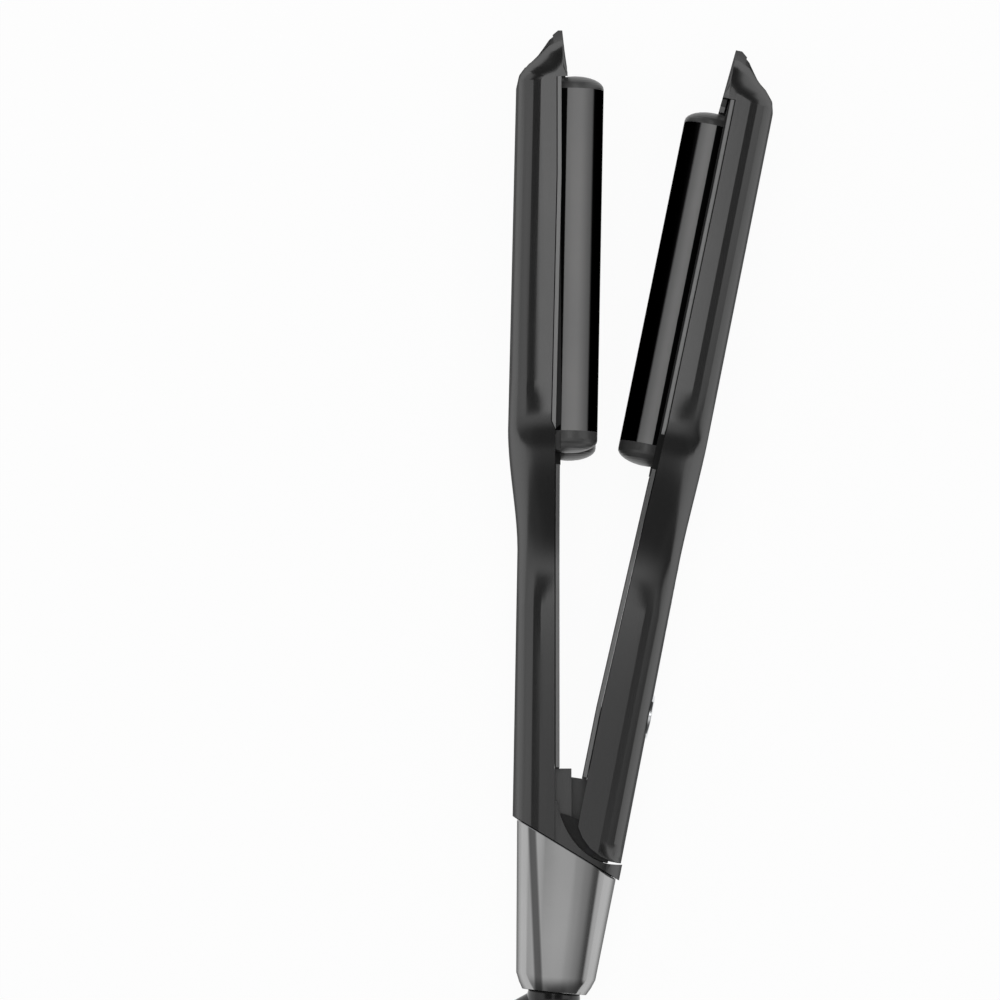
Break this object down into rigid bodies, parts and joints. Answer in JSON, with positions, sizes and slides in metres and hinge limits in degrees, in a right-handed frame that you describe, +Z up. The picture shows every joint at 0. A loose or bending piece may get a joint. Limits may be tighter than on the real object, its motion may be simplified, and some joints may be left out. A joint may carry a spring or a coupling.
{
  "type": "hair crimper",
  "caption": "Hand-held wave crimper with wide hinged heads, smooth barrels, a round power button, a temperature window and a swivel mains lead, lying open.",
  "frame": {"origin": "centre of the bounding box of the tool without its lead, on the surface it lies on", "axes": "+Y along the base arm from its tail to its tip, +X from the base arm towards the lever arm, +Z up, square to both arms' straight sides"},
  "size_m": [0.1528, 0.4544, 0.0656],
  "materials": {
    "shell_grey": "satin grey coat over a moulded shell",
    "cone_grey": "satin silver-grey coat",
    "trim_silver": "light satin coat",
    "barrel_black": "smooth dark ceramic coat",
    "cap_black": "heat-proof moulding",
    "tray_black": "heat-proof moulding",
    "bracket_dark": "moulded",
    "steel": "plain",
    "chrome_ring": "polished",
    "button_grey": "satin",
    "window_grey": "clear light guide",
    "segment_red": "lit light guide",
    "board_green": "laminate",
    "led_white": "clear",
    "wire_red": "insulation",
    "heater_alloy": "cast",
    "cord_black": "smooth sheath",
    "swivel_black": "polished moulding",
    "pin_brass": "nickel free"
  },
  "bodies": {
    "base": {"base_shell": "shell_grey", "base_head_trim": "trim_silver", "base_handle_cover": "trim_silver", "base_cover_screws": "steel", "base_barrel_tray": "tray_black", "base_barrels": "barrel_black", "base_upper_caps": "cap_black", "base_lower_caps": "cap_black", "base_heaters": "heater_alloy", "base_vent_grille": "trim_silver", "base_wiring": "wire_red", "hinge_bracket": "bracket_dark", "hinge_pin": "steel", "hinge_spring": "steel", "tail_cone": "cone_grey"},
    "lever": {"lever_shell": "shell_grey", "lever_head_trim": "trim_silver", "lever_handle_cover": "trim_silver", "lever_cover_screws": "steel", "lever_barrel_tray": "tray_black", "lever_barrel": "barrel_black", "lever_upper_cap": "cap_black", "lever_lower_cap": "cap_black", "lever_heater": "heater_alloy", "lever_vent_grille": "trim_silver", "lever_wiring": "wire_red", "lever_knuckle": "bracket_dark", "control_board": "board_green", "power_switch": "cap_black", "indicator_leds": "led_white", "temperature_window": "window_grey", "temperature_segment": "segment_red", "button_ring": "chrome_ring"},
    "button": {"power_button": "button_grey", "switch_plunger": "button_grey"},
    "cord": {"cord_swivel": "swivel_black", "swivel_clip": "steel", "strain_relief": "cord_black", "cord_lead": "cord_black", "cord_coil": "cord_black", "cord_tail": "cord_black", "cord_tie": "cord_black", "plug_body": "cord_black", "plug_pins": "pin_brass"}
  },
  "joints": [
    {"name": "arm_hinge", "type": "hinge", "parent": "base", "child": "lever", "pos_m": [-0.01724, -0.11208, 0.0172], "axis": [0, 0, 1], "range_deg": [0, 10.4], "stiffness_Nm_per_rad": 0.5, "springref_deg": -20.05, "deforming": ["hinge_spring"]},
    {"name": "button_press", "type": "slide", "parent": "lever", "child": "button", "axis": [-0.9799, 0.1994, 0], "range_m": [0, 0.0008], "stiffness_N_per_m": 600, "springref_m": -0.001},
    {"name": "cord_swivel", "type": "hinge", "parent": "base", "child": "cord", "pos_m": [-0.03008, -0.16356, 0.0172], "axis": [-0.1028, -0.9947, 0], "continuous": true}
  ]
}
